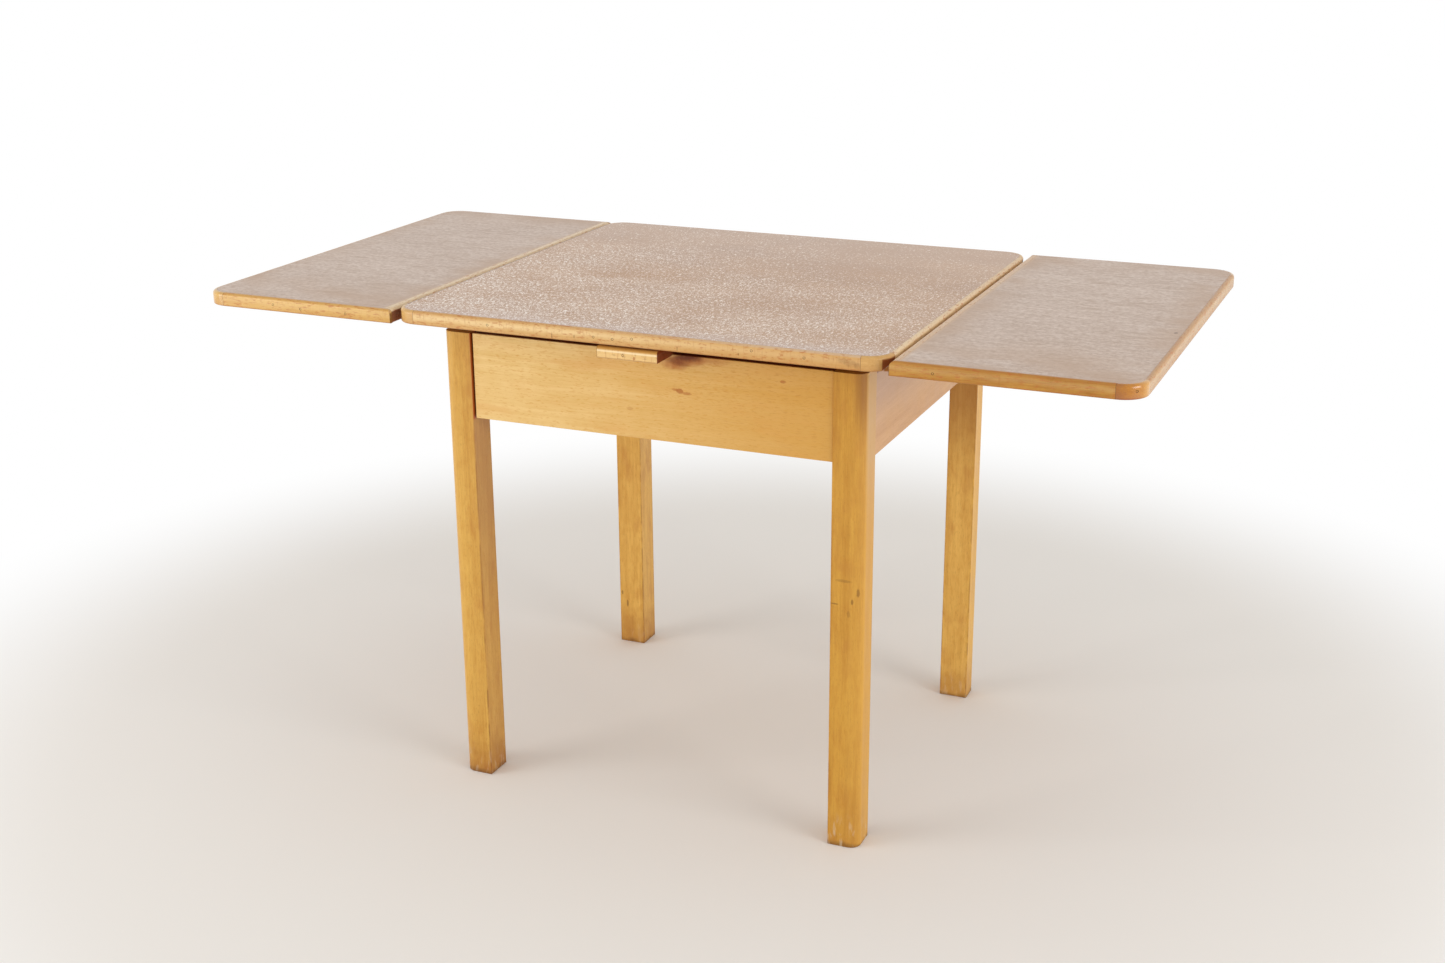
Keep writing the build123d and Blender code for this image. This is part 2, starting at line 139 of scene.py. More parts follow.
class Finish(Tree):
    """A finish on the piece's own coordinates, built up as a colour, a roughness and a height."""

    def __init__(self, name, apart=0.0):
        self.material = bpy.data.materials.new(name)
        self.material.use_nodes = True
        super().__init__(self.material.node_tree)
        self.coordinates = self.node("ShaderNodeTexCoord", {}, {}, "Object")
        self.x = self.node("ShaderNodeSeparateXYZ", {}, {0: self.coordinates}, "X")
        self.y = self.x.other("Y")
        self.z = self.x.other("Z")
        self.shift = [apart * share for share in SHIFT]
        self.place = self.squeezed((1.0, 1.0, 1.0))

    def squeezed(self, scale):
        """Coordinates moved apart from other pieces, and squeezed to stretch patterns."""
        values = {"Vector": self.coordinates, "Location": self.shift, "Scale": scale}
        return self.node("ShaderNodeMapping", {"vector_type": "POINT"}, values)

    def along(self, grain, stretch):
        """Coordinates on which a pattern is drawn out along the grain."""
        return self.squeezed([1 / stretch if axis == grain else 1.0 for axis in "xyz"])

    def noise(self, place, size, detail=2.0, distortion=0.0):
        """Cloudy noise with features of about that size."""
        values = {"Vector": place, "Scale": 1 / size, "Detail": detail, "Distortion": distortion}
        return self.node("ShaderNodeTexNoise", {}, values)

    def near(self, value, place, reach):
        """1 at a place along an axis, fading to 0 within reach of it."""
        return self.step(abs(value - place), reach, 0.0)

    def spot(self, first, second, middle, radii, ragged=RAGGED, core=CORE):
        """1 inside an oval spot with a ragged rim, 0 outside. A small core makes it fade slowly."""
        u = (first - middle[0]) / radii[0]
        v = (second - middle[1]) / radii[1]
        rim = self.noise(self.place, RIM_GRAIN * min(radii), detail=3.0) - 0.5
        return self.step(u * u + v * v + ragged * rim, 1.0, core)

    def stain(self, share, colour, rougher=0.0):
        """Lays a colour over what is there already."""
        self.colour = self.mix(share, self.colour, colour)
        if rougher:
            self.roughness = self.roughness + rougher * share

    def done(self, depth, **fixed):
        """Makes the shader, with a relief of that depth and what is the same all over."""
        bump = self.node("ShaderNodeBump", {}, {"Height": self.height, "Distance": depth})
        varying = {"Base Color": self.colour, "Roughness": self.roughness, "Normal": bump}
        shader = self.node("ShaderNodeBsdfPrincipled", {}, {**varying, **fixed})
        self.node("ShaderNodeOutputMaterial", {}, {"Surface": shader})
        return self.material


# Wood

PORE = tone(122, 70, 26)
WARM_PORE = tone(206, 148, 66)
RED_PORE = tone(178, 100, 44)
SOIL = tone(92, 56, 28)
GLUE_LINE = tone(104, 62, 28)
KNOT = tone(164, 84, 30)
CARAMEL = tone(176, 112, 48)
JOINT_BROWN = tone(140, 66, 26)
END_GRAIN = tone(112, 40, 10)

BOARD_STRETCH = 24          # how far rings and fibres run along the grain
PORE_STRETCH = 5
VARNISHED_RELIEF = 0.00004
RAW_RELIEF = 0.00006
THICK_VARNISH_RELIEF = 0.00001
VARNISH = {"Coat Weight": 0.06, "Coat Roughness": 0.18, "Coat IOR": 1.5, "Specular IOR Level": 0.22}
RUBBED_VARNISH = {**VARNISH, "Coat Weight": 0.2, "Coat Roughness": 0.22}
BARE = {"Specular IOR Level": 0.3}


class Beech(Finish):
    """Beech with its grain along one axis: slow drift, growth rings, fibres and short pores."""

    def __init__(self, name, grain, light, deep, apart=0.0, pores=0.2, gloss=0.36,
                 pore_size=0.0011, pore=PORE):
        super().__init__(name, apart)
        board = self.along(grain, BOARD_STRETCH)
        drift = self.noise(board, size=0.05) - 0.5
        rings = self.noise(board, size=0.007, detail=3.0, distortion=0.5) - 0.5
        fibre = self.noise(board, size=0.0012)
        cloud = self.noise(self.place, size=0.04, detail=4.0) - 0.5
        share = 0.5 + 1.4 * drift + 1.2 * rings + 0.9 * (fibre - 0.5) + 0.7 * cloud
        self.colour = self.mix(share, deep, light)
        pits = self.step(self.noise(self.along(grain, PORE_STRETCH), pore_size), 0.56, 0.7)
        self.roughness = gloss + 0.22 * cloud + 0.12 * pits
        self.height = fibre - 0.7 * pits
        self.stain(pores * pits, pore)

    def ticks(self):
        """Short upright ticks across an edge."""
        return self.noise(self.squeezed((1.0, 1.0, 0.15)), size=0.0024, detail=3.0)

    def mark(self, marks, colour, core=CORE, ragged=RAGGED):
        """Marks on an upright face, each by its middle in X and Z, half sizes and strength."""
        for middle, radii, strength in marks:
            self.stain(strength * self.spot(self.x, self.z, middle, radii, ragged, core), colour)

    def varnished(self):
        return self.done(VARNISHED_RELIEF, **VARNISH)

    def raw(self):
        return self.done(RAW_RELIEF, **BARE)


# Legs

OCHRE = tone(184, 120, 36)
LEG_ROUNDING = tone(236, 188, 94)
LEG_SIDE = tone(228, 175, 74)
HANDLED_BROWN = tone(148, 94, 46)
BLEACHED = tone(204, 168, 118)
SHADE_BROWN = tone(138, 74, 26)
DULL_BROWN = tone(160, 112, 72)
ARRIS_SOIL = tone(112, 62, 24)
FOOT_BROWN = tone(142, 78, 30)
SCUFF = tone(214, 196, 168)
JOINT_RED = tone(170, 76, 18)

ARRIS_REACH = 0.0028

LEG_MARKS = {
    "leg_front_right": (
        ((0.3185, 0.3965), (0.0022, 0.0075), 0.5),
        ((0.3110, 0.3830), (0.0020, 0.0045), 0.55),
        ((0.2980, 0.4125), (0.0140, 0.0025), 0.3),
        ((0.2850, 0.3770), (0.0070, 0.0014), 0.5),
        ((0.3060, 0.3640), (0.0030, 0.0060), 0.25),
    ),
    "leg_back_left": (
        ((-0.3105, 0.0745), (0.0022, 0.0080), 0.6),
        ((-0.3207, 0.0940), (0.0025, 0.0045), 0.5),
    ),
}


def leg(node, light, deep, apart, soiled, scuffed, dulled=0.0, jointed=0.0, bleached=0.0,
        handled=0.0, darker=0.0):
    """A leg: dark arrises, a soiled and scuffed foot, a painted highlight and painted light on its
    outer rounding and side, painted shade round its upper rounding, on its inner faces and in the
    gap beside the drawer.
    """
    low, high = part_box(node)
    frame_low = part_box("drawer_front")[0].z
    inner_x, outer_x = sorted((low.x, high.x), key=abs)
    inner_y, outer_y = sorted((low.y, high.y), key=abs)
    outermost = abs(outer_x) + abs(outer_y)
    wood = Beech(f"{node}_finish", "z", light, deep, apart)
    blotches = wood.step(wood.noise(wood.along("z", 3), size=0.02, detail=3.0), 0.52, 0.75)
    wood.stain(0.4 * blotches, CARAMEL)
    mottle = wood.step(wood.noise(wood.along("z", 4), size=0.004, detail=3.0), 0.5, 0.68)
    wood.stain(0.25 * mottle, OCHRE)

    outward = abs(wood.x) + abs(wood.y)
    rounding = wood.step(outward, outermost - 0.024, outermost - 0.012)
    # painted highlight: the rounded outer corner made paler, as if it catches the light
    wood.stain(0.15 * rounding, LEG_ROUNDING)
    # painted light: the outer side face made paler, as if lit from that side
    side = wood.near(wood.x, outer_x, 0.002)
    wood.stain(0.4 * side, LEG_SIDE)
    # painted shade: the upper part of the rounding darkened, as if in the shadow of the top's
    # overhang
    grip = wood.step(outward, outermost - 0.019, outermost - 0.009) * (1.0 - side)
    wood.stain(handled * grip * wood.step(wood.z, 0.60, 0.68), HANDLED_BROWN)
    # painted sheen: the upper outer side whitened, as if it reflects the white room
    wood.stain(bleached * side * wood.step(wood.z, 0.46, 0.64), BLEACHED)
    facing_in = wood.near(wood.y, inner_y, 0.004)
    wood.stain(darker * facing_in * wood.step(wood.z, 0.37, 0.55), SHADE_BROWN)
    # painted shade: the inner face darkened, most towards the top, as if shaded by the apron
    above = 0.3 + 0.7 * wood.step(wood.z, 0.2, 0.5)
    wood.stain(dulled * above * wood.near(wood.x, inner_x, 0.003), DULL_BROWN)

    patchy = wood.noise(wood.place, size=0.03, detail=4.0)
    rubbed = wood.step(patchy, 0.35, 0.6)
    below_frame = wood.step(wood.z, frame_low, 0.5)
    dirt = (0.3 + 0.35 * wood.step(wood.z, 0.45, 0.0)) * below_frame
    for arris_x, arris_y in ((inner_x, outer_y), (inner_x, inner_y), (outer_x, inner_y)):
        arris = wood.near(wood.x, arris_x, ARRIS_REACH) * wood.near(wood.y, arris_y, ARRIS_REACH)
        wood.stain(dirt * arris * rubbed, ARRIS_SOIL)
    wood.mark(LEG_MARKS.get(node, ()), SOIL)

    foot = wood.step(wood.z + 0.09 * (patchy - 0.5), 0.085, -0.01)
    wood.stain(soiled * foot, FOOT_BROWN, rougher=0.2)
    rim = wood.step(wood.z + 0.02 * (patchy - 0.5), 0.01, 0.0)
    wood.stain(0.6 * rim, SOIL)
    scrape = wood.step(wood.noise(wood.along("z", 4), size=0.006, detail=4.0), 0.52, 0.66)
    wood.stain(scuffed * scrape * wood.step(wood.z, 0.06, 0.01), SCUFF, rougher=0.2)
    if outer_y < 0:
        # painted shade: the inner face beside the drawer, seen only through the gap, darkened
        # red-brown as it looks in shade
        beside_drawer = wood.step(wood.z, frame_low - 0.004, frame_low)
        wood.stain(jointed * (wood.near(wood.x, inner_x, 0.001) * beside_drawer), JOINT_RED)
    return wood.varnished()


# Aprons, drawer front and pull

APRON_GREY = tone(188, 156, 136)

RIGHT_BROWN = tone(203, 146, 58)
BLOTCH_TAN = tone(212, 150, 72)
GRAIN_BROWN = tone(178, 116, 40)
LOWER_TAN = tone(208, 160, 84)
HAND_BROWN = tone(164, 80, 20)
GRIP_BROWN = tone(88, 32, 6)
INNER_FACE = tone(190, 130, 74)

PULL_SHINE = tone(255, 232, 186)
PULL_ROUNDING = tone(204, 146, 62)

SOFT_CORE = -0.2            # for stains that fade all the way

KNOTS = (
    ((0.0525, 0.6575), (0.0065, 0.0045), 0.75),
    ((0.0630, 0.6550), (0.0085, 0.0026), 0.6),
    ((0.0455, 0.6590), (0.0060, 0.0022), 0.5),
    ((0.2063, 0.6870), (0.0055, 0.0026), 0.6),
    ((-0.0249, 0.6240), (0.0060, 0.0030), 0.3),
)

# hand stains mixed with a painted shadow of the pull
HAND_STAINS = (
    ((0.0460, 0.6965), (0.0280, 0.0120), 0.75),
    ((0.0640, 0.7050), (0.0340, 0.0140), 0.85),
    ((0.0950, 0.7065), (0.0480, 0.0100), 0.45),
)

# painted shadow of the pull, darkest under the top's edge, with some grime
GRIP_SOIL = (
    ((0.0650, 0.7080), (0.0280, 0.0085), 0.9),
    ((0.0470, 0.7010), (0.0230, 0.0070), 0.5),
    ((0.0560, 0.6960), (0.0160, 0.0040), 0.3),
)

PULL_KNOT = (
    ((0.0066, 0.7111), (0.0022, 0.0030), 0.6),
)


def apron(node, light, deep, grain, apart, greyed=0.6):
    """An apron: fine plain grain, greyer above, and painted shade along its upper edge under the
    top.
    """
    low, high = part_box(node)
    wood = Beech(f"{node}_finish", grain, light, deep, apart, pores=0.1)
    wood.stain(greyed * wood.step(wood.z, low.z + 0.02, high.z - 0.02), APRON_GREY)
    # painted shade: a dark band along the upper edge, where the top shades it
    wood.stain(0.85 * wood.step(wood.z, high.z - 0.013, high.z - 0.009), END_GRAIN)
    return wood.varnished()


def drawer_face(node, light, deep):
    """The drawer front: browner to the right, knots, hand stains and a painted shadow by the pull,
    a dark left joint, painted shade on its lower part and its top edge.
    """
    low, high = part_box(node)
    wood = Beech(
        f"{node}_finish", "x", light, deep, apart=0.4, pores=0.6, pore_size=0.0016, pore=WARM_PORE
    )
    wood.stain(0.85 * wood.step(wood.x, low.x, high.x + 0.05), RIGHT_BROWN)
    blotch = wood.step(wood.noise(wood.along("x", 5), size=0.022, detail=3.0), 0.5, 0.72)
    wood.stain(0.35 * blotch, BLOTCH_TAN)
    grains = wood.step(wood.noise(wood.along("x", 6), size=0.0018, detail=3.0), 0.52, 0.7)
    wood.stain(0.4 * grains * wood.step(wood.x, -0.1, 0.2), GRAIN_BROWN)
    wood.mark(KNOTS, KNOT)
    # painted shade: the lower part of the face darker than the upper
    wood.stain(0.25 * wood.step(wood.z, high.z - 0.03, high.z - 0.075), LOWER_TAN)
    # hand stains and a painted shadow: the pull's cast shadow to its right painted in, darkest
    # under the top's edge
    wood.mark(HAND_STAINS, HAND_BROWN, SOFT_CORE, ragged=0.7)
    wood.mark(GRIP_SOIL, GRIP_BROWN, SOFT_CORE, ragged=0.8)
    wood.stain(0.8 * wood.near(wood.x, low.x, 0.0006), JOINT_BROWN)
    # painted shade: the top edge darkened red-brown, as it looks in the shade of the gap under the
    # top
    upper_edge = wood.step(wood.z, high.z - 0.0025, high.z - 0.0005)
    behind_face = wood.step(wood.y, low.y + 0.0012, low.y + 0.0035)
    wood.stain(0.9 * upper_edge * behind_face, END_GRAIN, rougher=0.3)
    wood.stain(0.5 * wood.step(wood.y, high.y - 0.001, high.y), INNER_FACE)
    return wood.varnished()


def pull_block(node, light, deep):
    """The drawer pull: pale, painted shade on its top rounding, a painted highlight below it, a
    painted shadow line along its foot, and dark end grain deepened with painted shade.
    """
    low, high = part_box(node)
    wood = Beech(
        f"{node}_finish", "x", light, deep, apart=0.5, pores=0.38, gloss=0.3, pore_size=0.0016
    )
    wood.stain(0.3 * wood.step(wood.ticks(), 0.54, 0.66), RED_PORE)
    # painted highlight: a bright line just below the top rounding
    wood.stain(0.8 * wood.near(wood.z, high.z - 0.0062, 0.0022), PULL_SHINE)
    # painted shade: the top rounding darkened golden, as if shaded by the top's overhang
    wood.stain(0.85 * wood.step(wood.z, high.z - 0.0048, high.z - 0.0034), PULL_ROUNDING)
    # painted shadow: a dark line along the foot of the pull
    wood.stain(0.5 * wood.step(wood.z, low.z + 0.003, low.z), JOINT_BROWN)
    wood.mark(PULL_KNOT, KNOT)
    # dark end grain, deepened by painted shade on the ends
    ends = wood.near(wood.x, low.x, 0.0008) | wood.near(wood.x, high.x, 0.0008)
    wood.stain(0.95 * ends, END_GRAIN)
    return wood.varnished()


# Lippings and corner pieces

RUBBED = tone(240, 212, 160)
EDGE_BROWN = tone(196, 142, 74)
FADED_BRINK = tone(214, 188, 160)
WORN_PALE = tone(255, 232, 198)
SMEAR_BROWN = tone(152, 108, 62)
CORNER_BROWN = tone(138, 74, 18)
CORNER_GOLD = tone(222, 172, 78)

GLUE_REACH = 0.0012
SMEAR_CORE = 0.0

FRONT_EDGE_SMEARS = (
    ((0.3230, 0.7395), (0.0130, 0.0060), 0.45),
    ((0.3120, 0.7420), (0.0100, 0.0050), 0.35),
    ((0.3320, 0.7370), (0.0060, 0.0050), 0.4),
)

FRONT_EDGE_CRACKS = (
    ((-0.1130, 0.7345), (0.0006, 0.0060), 0.8),
    ((-0.0785, 0.7370), (0.0010, 0.0030), 0.6),
    ((0.0770, 0.7350), (0.0008, 0.0040), 0.5),
    ((0.1660, 0.7360), (0.0012, 0.0022), 0.5),
)


def lipping(node, light, deep, grain, apart, rubbed=0.5, soiled=0.35, ticked=0.1, specked=0.3,
            shaded=0.0, shade_from=0.009, browner=0.0, faded=0.0, worn=0.0, marks=(), smears=()):
    """A lipping: soiled upper arris, a painted highlight with some rubbed wear below it, a painted
    highlight on its brink, ticks across its edge, dark end joints, painted shade along its lower
    edge and in a groove, and painted light on a rounding beside a groove.
    """
    low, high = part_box(node)
    wood = Beech(
        f"{node}_finish", grain, light, deep, apart, pores=0.75, gloss=0.3,
        pore_size=0.0022, pore=RED_PORE,
    )
    wood.stain(0.2 * wood.step(wood.z, high.z - 0.01, low.z), CARAMEL)
    patchy = wood.noise(wood.place, size=0.035, detail=3.0)
    # painted highlight with some rubbed wear: a pale band just below the upper arris, where the
    # rounding catches the light
    wood.stain(rubbed * wood.near(wood.z + 0.006 * (patchy - 0.5), high.z - 0.008, 0.007), RUBBED)
    to_right = wood.step(wood.x, -0.2, high.x)
    wood.stain(browner * to_right, EDGE_BROWN)
    upper = wood.step(wood.z, high.z - 0.005, high.z - 0.001)
    # painted highlight: to the right the soil on the arris thins and its brink is made paler, as if
    # it catches the light
    wood.stain(soiled * upper * (1.0 - faded * to_right), CARAMEL)
    brink = wood.step(wood.z, high.z - 0.0032, high.z - 0.0014)
    wood.stain(0.7 * faded * to_right * brink, FADED_BRINK)

    specks = wood.noise(wood.along(grain, 3), size=0.0026, detail=3.0)
    wood.stain(specked * wood.step(specks, 0.56, 0.68), RED_PORE)
    ticks = wood.ticks()
    wood.stain(ticked * wood.step(ticks, 0.54, 0.66), RED_PORE)
    bold = wood.step(ticks, 0.62, 0.72) * wood.step(patchy, 0.46, 0.62)
    wood.stain(1.5 * ticked * bold, JOINT_BROWN)

    # painted shade: the side face darkened below a depth, where it lies deep in a groove
    shade_top = high.z - shade_from
    wood.stain(shaded * wood.step(wood.z, shade_top, shade_top - 0.0012), END_GRAIN)
    # painted light: where worn is set, the rounding beside a groove is made paler to offset the
    # shade in the groove
    below_flat = wood.step(wood.z, high.z - 0.0002, high.z - 0.001)
    above_side = wood.step(wood.z, high.z - 0.007, high.z - 0.004)
    wood.stain(worn * below_flat * above_side, WORN_PALE)
    # painted shade: a dark line along the lower edge
    wood.stain(0.4 * wood.step(wood.z, low.z + 0.003, low.z), JOINT_BROWN)
    wood.mark(marks, GLUE_LINE)
    wood.mark(smears, SMEAR_BROWN, SMEAR_CORE)
    length, ends = (wood.x, (low.x, high.x)) if grain == "x" else (wood.y, (low.y, high.y))
    joints = wood.near(length, ends[0], GLUE_REACH) | wood.near(length, ends[1], GLUE_REACH)
    wood.stain(0.8 * joints, GLUE_LINE)
    return wood.done(VARNISHED_RELIEF, **RUBBED_VARNISH)


def corner_block(node, light, deep, apart, browner=0.25, shaded=0.0, coat=0.5, aged=0.0,
                 gloss=0.16):
    """Corner pieces under thick glossy varnish: browner below, painted shade where they meet a
    leaf, and a painted shade-to-light gradient across them.
    """
    low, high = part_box(node)
    wood = Beech(f"{node}_finish", "x", light, deep, apart, pores=0.12, gloss=0.24)
    patchy = wood.noise(wood.place, size=0.02, detail=3.0)
    wood.stain(0.3 * wood.step(patchy, 0.5, 0.7), CARAMEL)
    wood.stain(browner * wood.step(wood.z, high.z - 0.008, low.z), CARAMEL)
    wood.stain(browner * wood.step(wood.z, low.z + 0.004, low.z), JOINT_BROWN)
    # painted shade: the side that faces a leaf darkened, as if deep in the slot beside it
    side = wood.step(abs(wood.x), high.x - 0.0105, high.x - 0.0085)
    wood.stain(shaded * side * wood.step(wood.z, high.z - 0.003, high.z - 0.006), END_GRAIN)
    # painted shade and light: darker where the corner meets the front lipping, paler and more
    # golden where it turns to the side
    wood.stain(aged * wood.step(wood.x, low.x + 0.018, low.x), CORNER_BROWN)
    wood.stain(aged * wood.step(abs(wood.y), high.y - 0.006, high.y - 0.03), CORNER_GOLD)
    thick_varnish = {**VARNISH, "Coat Weight": coat, "Coat Roughness": gloss}
    return wood.done(THICK_VARNISH_RELIEF, **thick_varnish)


# Laminates

TOP_GROUND = (tone(176, 134, 99), tone(202, 164, 131))
TOP_WORN = tone(184, 139, 99)
TOP_FLECK = tone(255, 244, 234)
FRONT_HAZE = tone(206, 194, 194)
BACK_HAZE = tone(214, 196, 184)

LEAF_GROUND = (tone(180, 150, 127), tone(217, 197, 182))
LEAF_FLECK = tone(226, 214, 204)
LEAF_SCRATCH = tone(172, 140, 112)
LEAF_EDGE = tone(184, 148, 116)
LEAF_INNER_EDGE = tone(210, 174, 136)

BORDER_SOIL = tone(150, 108, 72)
BORDER_REACH = 0.0018
LAMINATE_RELIEF = 0.00002
SMALL_STAIN = (0.6871, -0.0744)
SMALL_STAIN_SIZE = (0.003, 0.006)


class Laminate(Finish):
    """A plastic laminate: a clouded tan ground with fine streaks along its length."""

    def __init__(self, node, base, pale, clouded, streaked, mottled):
        super().__init__(f"{node}_finish")
        cloud = self.noise(self.along("x", 1.6), size=0.12, detail=5.0) - 0.5
        streaks = self.noise(self.along("x", 8), size=0.006) - 0.5
        mottle = self.noise(self.along("x", 1.2), size=0.005)
        ground = 0.5 + clouded * cloud + streaked * streaks + mottled * (mottle - 0.5)
        self.colour = self.mix(ground, base, pale)
        self.roughness = 0.42 + 0.2 * cloud + 0.1 * (mottle - 0.5)
        self.height = mottle

    def flecked(self, amount, fleck, density):
        """Irregular pale flecks, closer together where density is higher."""
        squiggles = self.noise(self.along("y", 1.6), size=0.003, distortion=1.0)
        grains = self.noise(self.along("y", 1.4), size=0.0018, distortion=0.6)
        flecks = self.step(squiggles + density, 0.56, 0.63) | self.step(grains + density, 0.6, 0.67)
        self.stain(amount * flecks, fleck)
        self.height = self.height + 0.5 * flecks

    def soiled_border(self, node):
        """Brown dirt along the joint with the lippings."""
        low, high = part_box(node)
        across = self.near(self.x, low.x, BORDER_REACH) | self.near(self.x, high.x, BORDER_REACH)
        along = self.near(self.y, low.y, BORDER_REACH) | self.near(self.y, high.y, BORDER_REACH)
        self.stain(0.35 * (across | along), BORDER_SOIL)

    def pressed(self):
        return self.done(LAMINATE_RELIEF, **{"Specular IOR Level": 0.45})


def top_sheet(node):
    """The main top: pale flecks, closest at the front and left, worn patches, a greyer back."""
    low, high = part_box(node)
    sheet = Laminate(node, *TOP_GROUND, clouded=1.6, streaked=0.5, mottled=1.0)
    worn = sheet.noise(sheet.along("x", 1.5), size=0.1, detail=4.0)
    wander = worn - 0.5
    sheet.stain(0.5 * sheet.step(worn, 0.52, 0.68), TOP_WORN)
    front = sheet.step(sheet.y + 0.2 * wander, high.y, low.y)
    left = sheet.step(sheet.x, high.x, low.x)
    density = 0.06 * (front - 0.65) + 0.02 * (left - 0.6) - 0.14 * wander
    sheet.flecked(0.75 + 0.22 * left, TOP_FLECK, density)
    sheet.stain(0.25 * sheet.step(sheet.y + 0.03 * wander, low.y + 0.05, low.y), FRONT_HAZE)
    sheet.stain(0.3 * sheet.step(sheet.y + 0.15 * wander, 0.0, high.y), BACK_HAZE)
    sheet.soiled_border(node)
    return sheet.pressed()


def leaf_sheet(node):
    """A leaf: greyer in its middle, browner round its edges, fine streaks and faint flecks."""
    low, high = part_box(node)
    sheet = Laminate(node, *LEAF_GROUND, clouded=0.9, streaked=0.9, mottled=2.0)
    sheet.flecked(0.2, LEAF_FLECK, density=0.0)
    worn = sheet.noise(sheet.along("x", 1.5), size=0.07, detail=4.0)
    scratches = sheet.step(sheet.noise(sheet.along("x", 9), size=0.005), 0.53, 0.66)
    sheet.stain(0.5 * scratches * sheet.step(worn, 0.42, 0.6), LEAF_SCRATCH)
    edge_x = sheet.near(sheet.x, low.x, 0.06) | sheet.near(sheet.x, high.x, 0.06)
    edge_y = sheet.near(sheet.y, low.y, 0.2) | sheet.near(sheet.y, high.y, 0.1)
    sheet.stain(0.7 * (edge_x | edge_y) * sheet.step(worn, 0.3, 0.65), LEAF_EDGE)
    inner_x = min(abs(low.x), abs(high.x))
    sheet.stain(0.5 * sheet.step(abs(sheet.x), inner_x + 0.006, inner_x), LEAF_INNER_EDGE)
    sheet.stain(0.6 * sheet.spot(sheet.x, sheet.y, SMALL_STAIN, SMALL_STAIN_SIZE), SOIL)
    sheet.soiled_border(node)
    return sheet.pressed()


# Working wood and metal

UNDERSIDE = (tone(172, 118, 72), tone(140, 90, 50))
AGED_BEECH = (tone(192, 136, 78), tone(158, 104, 54))
BIRCH = (tone(222, 194, 150), tone(196, 160, 112))
BIRCH_FIGURE = tone(184, 142, 94)
TARNISH = (tone(94, 90, 84), tone(168, 164, 156))
RUST = (tone(22, 10, 4), tone(58, 30, 14))
STEEL_RELIEF = 0.00002
IRON_RELIEF = 0.00003


def core_board(node):
    """The underside of a board: a darkened veneer with long streaks."""
    return Beech(f"{node}_finish", "y", *UNDERSIDE, apart=0.3, pores=0.6, gloss=0.62).raw()


def bare_beech(node, grain, apart):
    """Unvarnished working wood under the top, darkened with age."""
    return Beech(f"{node}_finish", grain, *AGED_BEECH, apart, pores=0.5, gloss=0.6).raw()


def plywood(node):
    """Thin birch plywood: pale, with a broad wavy figure."""
    sheet = Beech(f"{node}_finish", "x", *BIRCH, apart=0.9, pores=0.3, gloss=0.55)
    figure = sheet.noise(sheet.along("x", 6), size=0.02, distortion=2.5)
    sheet.stain(0.35 * sheet.step(figure, 0.45, 0.6), BIRCH_FIGURE)
    return sheet.raw()


def screw_steel(name):
    """Dull zinc-grey steel with darker tarnish."""
    steel = Finish(name)
    tarnish = steel.noise(steel.place, size=0.003, detail=4.0)
    steel.colour = steel.mix(tarnish, *TARNISH)
    steel.roughness = 0.35 + 0.3 * tarnish
    steel.height = steel.noise(steel.place, size=0.0008)
    return steel.done(STEEL_RELIEF, Metallic=0.9)


def pin_iron(name):
    """Punched-in pin heads, gone nearly black."""
    iron = Finish(name)
    rust = iron.noise(iron.place, size=0.0009, detail=3.0)
    iron.colour = iron.mix(rust, *RUST)
    iron.roughness = 0.65 + 0.25 * rust
    iron.height = rust
    return iron.done(IRON_RELIEF, **{"Specular IOR Level": 0.15})


# A finish for each node. Each pair is the light and the deep tone of a wood.

HONEY = (tone(217, 170, 83), tone(190, 136, 56))
AMBER = (tone(206, 153, 62), tone(178, 120, 42))
STRAW = (tone(226, 179, 92), tone(198, 145, 64))
PALE = (tone(228, 192, 131), tone(207, 162, 98))
CREAM = (tone(242, 208, 146), tone(220, 176, 108))
VANILLA = (tone(240, 208, 146), tone(220, 180, 108))
GOLD = (tone(212, 161, 76), tone(158, 103, 30))
MAIZE = (tone(220, 180, 104), tone(198, 148, 72))
ROSY = (tone(213, 167, 114), tone(194, 142, 88))
RUSSET = (tone(196, 130, 6), tone(164, 94, 2))
BUFF = (tone(222, 180, 114), tone(194, 146, 84))
BLUSH = (tone(216, 178, 133), tone(200, 158, 112))
SAND = (tone(197, 156, 92), tone(170, 125, 66))
BISQUE = (tone(230, 202, 158), tone(212, 178, 132))
UMBER = (tone(154, 108, 60), tone(132, 88, 46))

finishes = {}


def dress(maker, node, *wood, **looks):
    """Makes the finish of one node."""
    finishes[node] = maker(node, *wood, **looks)


dress(leg, "leg_front_left", *HONEY, apart=0.1, soiled=0.6, scuffed=0.25, dulled=0.45, jointed=0.9)
dress(
    leg, "leg_front_right", *AMBER, apart=0.7, soiled=0.15, scuffed=0.5, bleached=0.55, handled=0.6
)
dress(leg, "leg_back_left", *STRAW, apart=1.3, soiled=0.5, scuffed=0.1, dulled=0.15)
dress(leg, "leg_back_right", *STRAW, apart=1.9, soiled=0.4, scuffed=0.2, darker=0.55)
dress(apron, "apron_left", *ROSY, grain="y", apart=0.2)
dress(apron, "apron_right", *ROSY, grain="y", apart=0.6)
dress(apron, "apron_back", *HONEY, grain="x", apart=0.8, greyed=0.1)
dress(drawer_face, "drawer_front", *VANILLA)
dress(pull_block, "drawer_pull", *CREAM)
dress(
    lipping, "top_lipping_front", *PALE, grain="x", apart=0.3, rubbed=0.6, ticked=0.15, specked=0.5,
    browner=0.6, faded=0.8, marks=FRONT_EDGE_CRACKS, smears=FRONT_EDGE_SMEARS,
)
dress(lipping, "top_lipping_back", *GOLD, grain="x", apart=0.9)
dress(lipping, "top_lipping_left", *UMBER, grain="y", apart=1.1, rubbed=0.0, soiled=0.0)
